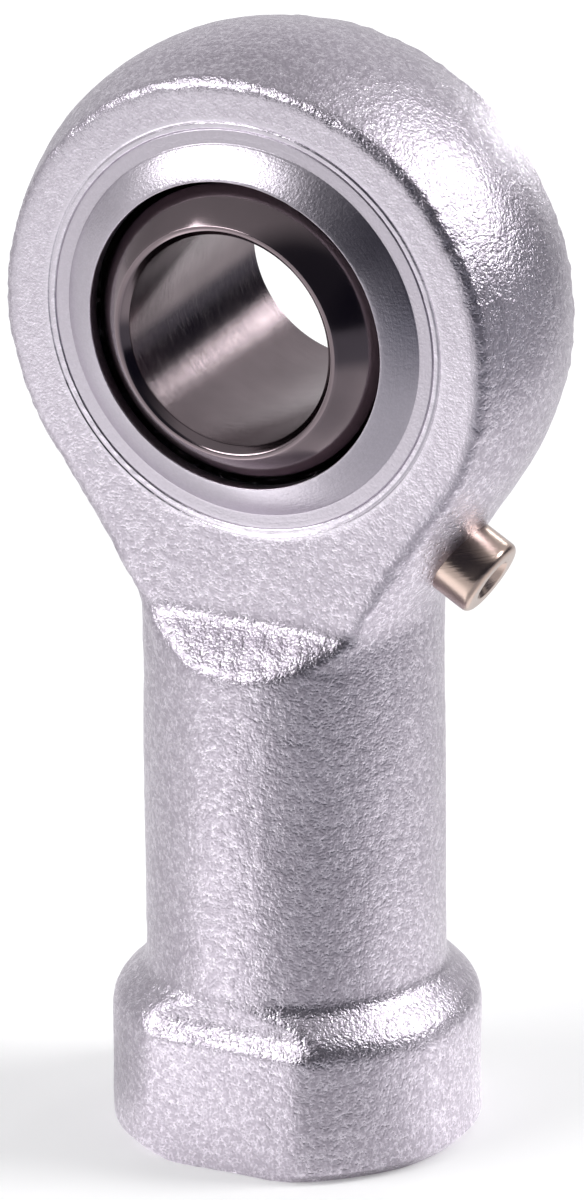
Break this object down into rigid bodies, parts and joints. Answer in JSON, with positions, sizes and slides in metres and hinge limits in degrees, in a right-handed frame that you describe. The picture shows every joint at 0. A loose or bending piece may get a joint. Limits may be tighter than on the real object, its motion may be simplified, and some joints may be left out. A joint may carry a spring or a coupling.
{
  "type": "rod end",
  "caption": "Female-thread rod end with a forged zinc-plated eye, a self-aligning ball bearing between dished shields, and a drive-in grease nipple.",
  "frame": {"origin": "centre of the bearing, on the pin bore's axis, midway between the inner ring's faces", "axes": "+Y along the pin bore, away from the viewer of the front face; -Z along the thread, out of its mouth; +X towards the grease nipple"},
  "size_m": [0.042, 0.024, 0.0846],
  "materials": {
    "zinc_forging": "zinc-plated forged skin, fine orange-peel grain, satin",
    "zinc_sheet": "zinc-plated pressed sheet, smooth satin",
    "bearing_steel": "ground and polished hardened steel",
    "ball_steel": "polished bearing balls",
    "nickel_plate": "nickel-plated turned steel",
    "spring_wire": "drawn spring wire"
  },
  "bodies": {
    "housing": {"rod_end_body": "zinc_forging", "front_shield": "zinc_sheet", "rear_shield": "zinc_sheet", "grease_nipple": "nickel_plate", "nipple_spring": "spring_wire"},
    "ball_rows": {"front_ball_01": "ball_steel", "front_ball_02": "ball_steel", "front_ball_03": "ball_steel", "front_ball_04": "ball_steel", "front_ball_05": "ball_steel", "front_ball_06": "ball_steel", "front_ball_07": "ball_steel", "front_ball_08": "ball_steel", "front_ball_09": "ball_steel", "front_ball_10": "ball_steel", "front_ball_11": "ball_steel", "front_ball_12": "ball_steel", "front_ball_13": "ball_steel", "front_ball_14": "ball_steel", "front_ball_15": "ball_steel", "front_ball_16": "ball_steel", "front_ball_17": "ball_steel", "front_ball_18": "ball_steel", "front_ball_19": "ball_steel", "front_ball_20": "ball_steel", "front_ball_21": "ball_steel", "front_ball_22": "ball_steel", "front_ball_23": "ball_steel", "front_ball_24": "ball_steel", "rear_ball_01": "ball_steel", "rear_ball_02": "ball_steel", "rear_ball_03": "ball_steel", "rear_ball_04": "ball_steel", "rear_ball_05": "ball_steel", "rear_ball_06": "ball_steel", "rear_ball_07": "ball_steel", "rear_ball_08": "ball_steel", "rear_ball_09": "ball_steel", "rear_ball_10": "ball_steel", "rear_ball_11": "ball_steel", "rear_ball_12": "ball_steel", "rear_ball_13": "ball_steel", "rear_ball_14": "ball_steel", "rear_ball_15": "ball_steel", "rear_ball_16": "ball_steel", "rear_ball_17": "ball_steel", "rear_ball_18": "ball_steel", "rear_ball_19": "ball_steel", "rear_ball_20": "ball_steel", "rear_ball_21": "ball_steel", "rear_ball_22": "ball_steel", "rear_ball_23": "ball_steel", "rear_ball_24": "ball_steel"},
    "inner_ring": {"inner_ring": "bearing_steel"},
    "check_ball": {"nipple_check_ball": "bearing_steel"}
  },
  "joints": [
    {"name": "bearing_tilt", "type": "hinge", "parent": "housing", "child": "ball_rows", "pos_m": [0, 0, 0], "axis": [1, 0, 0], "range_deg": [-8, 8]},
    {"name": "ring_spin", "type": "hinge", "parent": "ball_rows", "child": "inner_ring", "pos_m": [0, 0, 0], "axis": [0, 1, 0], "continuous": true},
    {"name": "check_ball_slide", "type": "slide", "parent": "housing", "child": "check_ball", "axis": [-0.866, 0, 0.5], "range_m": [0, 0.0008], "stiffness_N_per_m": 1000, "springref_m": -0.0003, "deforming": ["nipple_spring"]}
  ]
}
